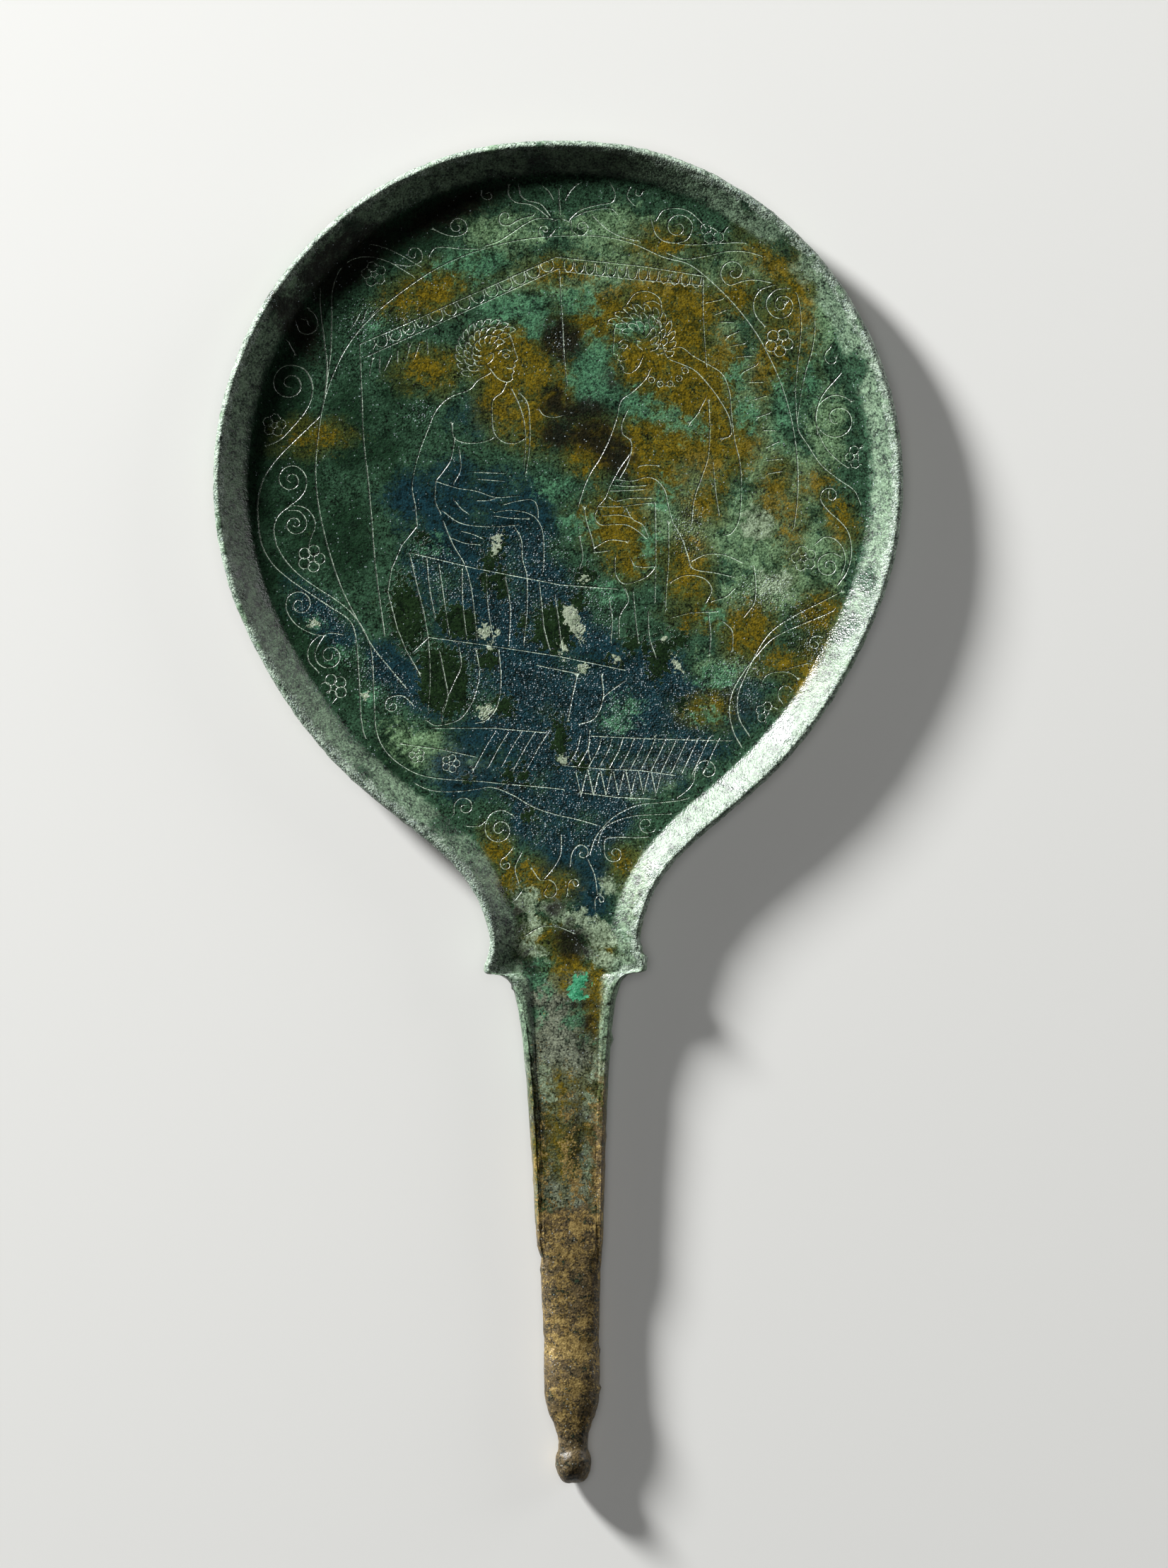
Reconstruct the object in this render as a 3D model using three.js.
// An Etruscan hand mirror, cast in bronze in one piece: a dished, pear-shaped disc with a raised
// rim, a neck with two blunt shoulders, and a flat handle that ends in a bulb and a small ball.
// It lies on its polished back with the engraved side up. Millimetres, +Z up, +Y from the handle
// towards the disc, and the origin under the middle of the mirror's length.

import * as THREE from "three";
import { LoftGeometry } from "three/addons/geometries/LoftGeometry.js";
import { mergeVertices } from "three/addons/utils/BufferGeometryUtils.js";

// Driving dimensions. A reach is a distance from the centre of the disc towards the handle's end.
const mirrorLength = 311;
const discRadius = 80;
const wornCrown = 0.8;
const wornAngle = THREE.MathUtils.degToRad(12);
const discCentreY = mirrorLength / 2 - (discRadius - wornCrown);
const tipReach = mirrorLength - (discRadius - wornCrown);

// The dish: its floor sinks towards the middle, and its back swells down to a small flat spot.
const floorRadius = 71.7;
const floorHeight = 2.4;
const floorSink = 1.85;
const flatSpotRadius = 24;
const floorBlend = 0.8;

// The flank between disc and neck is one curve that leaves the disc along its edge.
const flankStart = THREE.MathUtils.degToRad(23.2);
const flankLeave = 59.5;
const flankArrive = 38.3;
const flankEndWidth = 16.75;
const flankEndReach = 113.8;
const waistReach = 105.7;

// The ball at the end of the handle is a little longer than it is wide, and flat at its tip.
const ballReach = 227.2;
const ballRadius = 4.2;
const ballHalfLength = 5.3;
const ballNeckReach = 224;

// The lip of the rim: how far its crest lies from the edge, and how far round the edge is.
const crestInset = 1;
const shoulderInset = 0.35;
const shoulderRise = 0.72;

// How the section changes along the mirror: the width of the rim's band, the heights of its lip
// and of the seam where top and back meet at the edge, the highest the floor rises, the height
// of the back, and how far the top and the back have turned from a plate into a round bar.
const stations = [
  { reach: -80, band: 8.3, lip: 9.2, seam: 7.8, crown: 6.9, back: 1.95, roundTop: 0, roundBack: 0 },
  { reach: 60, band: 8.3, lip: 9.2, seam: 7.8, crown: 6.9, back: 1.95, roundTop: 0, roundBack: 0 },
  { reach: 98, band: 7.0, lip: 9.1, seam: 7.4, crown: 6.7, back: 1.8, roundTop: 0, roundBack: 0 },
  { reach: 111, band: 7.7, lip: 8.9, seam: 6.7, crown: 6.6, back: 1.5, roundTop: 0, roundBack: 0.5 },
  { reach: 118, band: 4.3, lip: 8.4, seam: 5.6, crown: 6.7, back: 1.2, roundTop: 0, roundBack: 1 },
  { reach: 126, band: 2.7, lip: 7.8, seam: 4.8, crown: 6.8, back: 1.0, roundTop: 0, roundBack: 1 },
  { reach: 174, band: 1.7, lip: 7.4, seam: 4.3, crown: 6.7, back: 1.0, roundTop: 0, roundBack: 1 },
  { reach: 182, band: 1.7, lip: 7.2, seam: 4.2, crown: 7.1, back: 0.9, roundTop: 0.7, roundBack: 1 },
  { reach: 200, band: 1.7, lip: 7.4, seam: 4.2, crown: 7.7, back: 0.6, roundTop: 1, roundBack: 1 },
  { reach: 207, band: 1.7, lip: 8.0, seam: 4.3, crown: 8.6, back: 0.0, roundTop: 1, roundBack: 1 },
  { reach: 214, band: 1.7, lip: 8.0, seam: 4.3, crown: 8.3, back: 0.3, roundTop: 1, roundBack: 1 },
  { reach: 221, band: 1.7, lip: 7.0, seam: 4.2, crown: 7.4, back: 1.0, roundTop: 1, roundBack: 1 },
  { reach: 223, band: 1.7, lip: 7.0, seam: 4.2, crown: 7.4, back: 1.0, roundTop: 1, roundBack: 1 },
];

// The carved profile from the crest of the lip down the slanted wall to the floor, as shares of
// the band's width and of the lip's height, and the same for the back from the edge inwards. A
// narrow ledge keeps the foot of the wall crisp.
const wallLevels = [
  { across: 0.07, up: 0.965 },
  { across: 0.16, up: 0.86 },
  { across: 0.4, up: 0.58 },
  { across: 0.68, up: 0.29 },
  { across: 0.9, up: 0.07 },
  { across: 1, up: 0 },
];
const backLevels = [
  { across: 0.03, up: 0.85 },
  { across: 0.11, up: 0.65 },
  { across: 0.27, up: 0.41 },
  { across: 0.48, up: 0.22 },
  { across: 0.75, up: 0.08 },
  { across: 1, up: 0 },
];
const footLedge = 0.6;
const footShare = 0.1;
const floorShares = [0.15, 0.35, 0.6, 0.82, 1];
const backShares = [0.3, 0.6653, 1];
const barSquareness = 2.6;
const ballSquareness = 2;

function at(halfWidth, reach) {
  return new THREE.Vector2(halfWidth, discCentreY - reach);
}

// The sizes at one reach, in proportion between the two stations around it.
function sizesAt(reach) {
  const last = stations.length - 1;
  const next = stations.findIndex((station) => station.reach > reach);
  const upper = next < 0 ? last : Math.max(next, 1);
  const before = stations[upper - 1];
  const after = stations[upper];
  const share = Math.min((reach - before.reach) / (after.reach - before.reach), 1);
  const sizes = {};
  for (const name of Object.keys(before)) {
    sizes[name] = THREE.MathUtils.lerp(before[name], after[name], share);
  }
  if (reach > ballNeckReach) {
    const along = Math.min(Math.max(reach - ballReach, 0 - ballHalfLength), 0) / ballHalfLength;
    const halfThickness = ballRadius * Math.sqrt(1 - along * along);
    sizes.seam = ballRadius;
    sizes.crown = ballRadius + halfThickness;
    sizes.back = ballRadius - halfThickness;
  }
  return sizes;
}

function smoothMin(a, b, blend) {
  const share = THREE.MathUtils.clamp(0.5 + (0.5 * (b - a)) / blend, 0, 1);
  return THREE.MathUtils.lerp(b, a, share) - blend * share * (1 - share);
}

// The height of the floor, and of the back, at a point of the plan.
function floorAt(point) {
  const radius = Math.hypot(point.x, point.y - discCentreY);
  const dish = floorHeight + floorSink * (radius / floorRadius) ** 2;
  return smoothMin(dish, sizesAt(discCentreY - point.y).crown, floorBlend);
}

function backAt(point) {
  const radius = Math.hypot(point.x, point.y - discCentreY);
  const swell = (radius ** 2 - flatSpotRadius ** 2) / (floorRadius ** 2 - flatSpotRadius ** 2);
  const back = sizesAt(discCentreY - point.y).back;
  return Math.min(Math.max(0, floorSink * swell), back);
}

// The outline of the right half, from the crown of the disc to the tip of the handle. Each piece
// says where its sections meet on the middle line: square to the edge, straight across, or in
// the centre of the disc or of the ball.
class DiscArc extends THREE.Curve {
  getPoint(t, target = new THREE.Vector2()) {
    const angle = THREE.MathUtils.lerp(Math.PI / 2, -flankStart, t);
    const wear = wornCrown * Math.exp(-(((Math.PI / 2 - angle) / wornAngle) ** 2));
    const x = discRadius * Math.cos(angle);
    const y = discCentreY + discRadius * Math.sin(angle) - wear;
    return target.set(x, y);
  }
}

class BallArc extends THREE.Curve {
  constructor(fromReach, toReach) {
    super();
    this.from = Math.asin((fromReach - ballReach) / ballHalfLength);
    this.to = Math.asin((toReach - ballReach) / ballHalfLength);
  }

  getPoint(t, target = new THREE.Vector2()) {
    const angle = THREE.MathUtils.lerp(this.from, this.to, t);
    const reach = ballReach + ballHalfLength * Math.sin(angle);
    return target.set(ballRadius * Math.cos(angle), discCentreY - reach);
  }
}

function flankCurve() {
  const leave = at(discRadius * Math.cos(flankStart), discRadius * Math.sin(flankStart));
  const heading = new THREE.Vector2(-Math.sin(flankStart), -Math.cos(flankStart));
  return new THREE.CubicBezierCurve(
    leave,
    leave.clone().addScaledVector(heading, flankLeave),
    at(flankEndWidth, flankEndReach - flankArrive),
    at(flankEndWidth, flankEndReach),
  );
}

// The share of the flank's curve that ends at the waist, found by halving.
function waistShare(curve) {
  let low = 0;
  let high = 1;
  while (high - low > 1e-6) {
    const middle = (low + high) / 2;
    if (discCentreY - curve.getPoint(middle).y < waistReach) {
      low = middle;
    } else {
      high = middle;
    }
  }
  return low;
}

const discMiddle = at(0, 0);
const ballMiddle = at(0, ballReach);
const toDiscMiddle = () => discMiddle;
const toBallMiddle = () => ballMiddle;
const straightAcross = (point) => new THREE.Vector2(0, point.y);
const squareToEdge = (point, heading) =>
  new THREE.Vector2(0, point.y + (point.x * heading.x) / heading.y);

const flank = flankCurve();
const flankShare = waistShare(flank);
const waist = flank.getPoint(flankShare);
const shoulderTop = at(19, 111.6);
const shoulderTip = at(18.7, 113.5);
const shoulderRoot = at(15.6, 113.8);
const handleTop = at(11.6, 119.4);
const handleSide = [
  handleTop,
  at(10.1, 130.6),
  at(8.9, 150),
  at(8.25, 163),
  at(7.7, 176),
  at(6.9, 183),
  at(6.5, 196),
  at(6.25, 200),
];
const bulbSide = [
  at(6.25, 200),
  at(6.5, 207),
  at(6, 214),
  at(4.5, 217.7),
  at(3.5, 221),
  new BallArc(ballNeckReach, ballReach).getPoint(0),
];

const outline = [
  { curve: new DiscArc(), to: 1, steps: 36, meet: toDiscMiddle },
  { curve: flank, to: flankShare, steps: 19, meet: squareToEdge },
  {
    curve: new THREE.QuadraticBezierCurve(waist, at(17.7, 109.4), shoulderTop),
    to: 1,
    steps: 3,
    meet: straightAcross,
  },
  {
    curve: new THREE.QuadraticBezierCurve(shoulderTop, at(19.3, 112.9), shoulderTip),
    to: 1,
    steps: 2,
    meet: straightAcross,
  },
  {
    curve: new THREE.LineCurve(shoulderTip, shoulderRoot),
    to: 1,
    steps: 2,
    meet: straightAcross,
  },
  {
    curve: new THREE.CubicBezierCurve(shoulderRoot, at(13.2, 114), at(12.4, 116.6), handleTop),
    to: 1,
    steps: 4,
    meet: straightAcross,
  },
  { curve: new THREE.SplineCurve(handleSide), to: 1, steps: 14, meet: straightAcross },
  { curve: new THREE.SplineCurve(bulbSide), to: 1, steps: 10, meet: straightAcross },
  { curve: new BallArc(ballNeckReach, ballReach), to: 1, steps: 3, meet: straightAcross },
  { curve: new BallArc(ballReach, tipReach), to: 1, steps: 3, meet: toBallMiddle },
];

// One column is a section from a point of the edge to where it meets the middle line.
function columnsOf(pieces) {
  const columns = [];
  for (const { curve, to, steps, meet } of pieces) {
    const first = columns.length === 0 ? 0 : 1;
    for (let step = first; step <= steps; step += 1) {
      const share = (to * step) / steps;
      const edge = curve.getPoint(share);
      columns.push({ edge, spine: meet(edge, curve.getTangent(share)) });
    }
  }
  columns.push({ edge: at(0, tipReach), spine: ballMiddle });
  return columns;
}

// The points of one section, from the middle of the floor over the lip to the middle of the back.
function sectionOf({ edge, spine }) {
  const width = edge.distanceTo(spine);
  const inward = spine.clone().sub(edge).divideScalar(width);
  const planAt = (inset) => edge.clone().addScaledVector(inward, inset);
  const sizes = sizesAt(discCentreY - edge.y);
  const middle = sizesAt(discCentreY - spine.y);
  const squareness = discCentreY - spine.y > ballNeckReach ? ballSquareness : barSquareness;
  const barSeam = (middle.crown + middle.back) / 2;
  const halfThickness = (middle.crown - middle.back) / 2;

  // A level of the plate turns into the matching level of a round bar by the share given.
  const level = (inset, height, order, count, side, roundness) => {
    const angle = (order / count) * (Math.PI / 2);
    const power = 2 / squareness;
    const barInset = width * (1 - Math.cos(angle) ** power);
    const barHeight = barSeam + side * halfThickness * Math.sin(angle) ** power;
    const plan = planAt(THREE.MathUtils.lerp(inset, barInset, roundness));
    const z = THREE.MathUtils.lerp(height, barHeight, roundness);
    return new THREE.Vector3(plan.x, plan.y, z);
  };

  const band = Math.min(sizes.band, width * 0.8);
  const crest = Math.min(crestInset, band * 0.45);
  const footHeight = floorAt(planAt(band));
  const topLevels = [
    [crest * shoulderInset, THREE.MathUtils.lerp(sizes.seam, sizes.lip, shoulderRise)],
    [crest, sizes.lip],
  ];
  for (const { across, up } of wallLevels) {
    const inset = crest + (band - crest) * across;
    topLevels.push([inset, THREE.MathUtils.lerp(footHeight, sizes.lip, up)]);
  }
  const ledge = band + Math.min(footLedge, (width - band) * footShare);
  topLevels.push([ledge, floorAt(planAt(ledge))]);
  for (const share of floorShares) {
    const inset = THREE.MathUtils.lerp(band, width, share);
    topLevels.push([inset, floorAt(planAt(inset))]);
  }

  const backBand = Math.min(sizes.band, width * 0.8);
  const backFoot = backAt(planAt(backBand));
  const lowLevels = [];
  for (const { across, up } of backLevels) {
    lowLevels.push([backBand * across, THREE.MathUtils.lerp(backFoot, sizes.seam, up)]);
  }
  for (const share of backShares) {
    const inset = THREE.MathUtils.lerp(backBand, width, share);
    lowLevels.push([inset, backAt(planAt(inset))]);
  }

  const top = topLevels.map(([inset, height], index) =>
    level(inset, height, index + 1, topLevels.length, 1, sizes.roundTop),
  );
  const low = lowLevels.map(([inset, height], index) =>
    level(inset, height, index + 1, lowLevels.length, -1, sizes.roundBack),
  );
  const seamHeight = THREE.MathUtils.lerp(sizes.seam, barSeam, sizes.roundTop);
  const seam = new THREE.Vector3(edge.x, edge.y, seamHeight);
  return [...top.reverse(), seam, ...low];
}

// The rings run round the whole mirror, one for each level, and the loft skins them. The first
// and last rings fold flat onto the middle line, so merging their points closes the solid.
function mirrorGeometry() {
  const right = columnsOf(outline).map(sectionOf);
  const left = right
    .slice(1, -1)
    .reverse()
    .map((section) => section.map((point) => new THREE.Vector3(-point.x, point.y, point.z)));
  const round = [...right, ...left];
  const rings = right[0].map((_, index) => round.map((section) => section[index].clone()));
  const loft = new LoftGeometry(rings);
  const skin = new THREE.BufferGeometry();
  skin.setAttribute("position", loft.getAttribute("position"));
  skin.setIndex(loft.index);
  const merged = mergeVertices(skin, 1e-3);
  const kept = [];
  for (let corner = 0; corner < merged.index.count; corner += 3) {
    const [a, b, c] = [0, 1, 2].map((step) => merged.index.getX(corner + step));
    if (a !== b && b !== c && c !== a) {
      kept.push(a, b, c);
    }
  }
  merged.setIndex(kept);
  merged.computeVertexNormals();
  return merged;
}

const bronze = new THREE.MeshStandardMaterial({
  color: 0x4a5a48,
  roughness: 0.55,
  metalness: 0.6,
});

const mirror = new THREE.Mesh(mirrorGeometry(), bronze);
mirror.name = "mirror";

const handMirror = new THREE.Group();
handMirror.add(mirror);

export default handMirror;
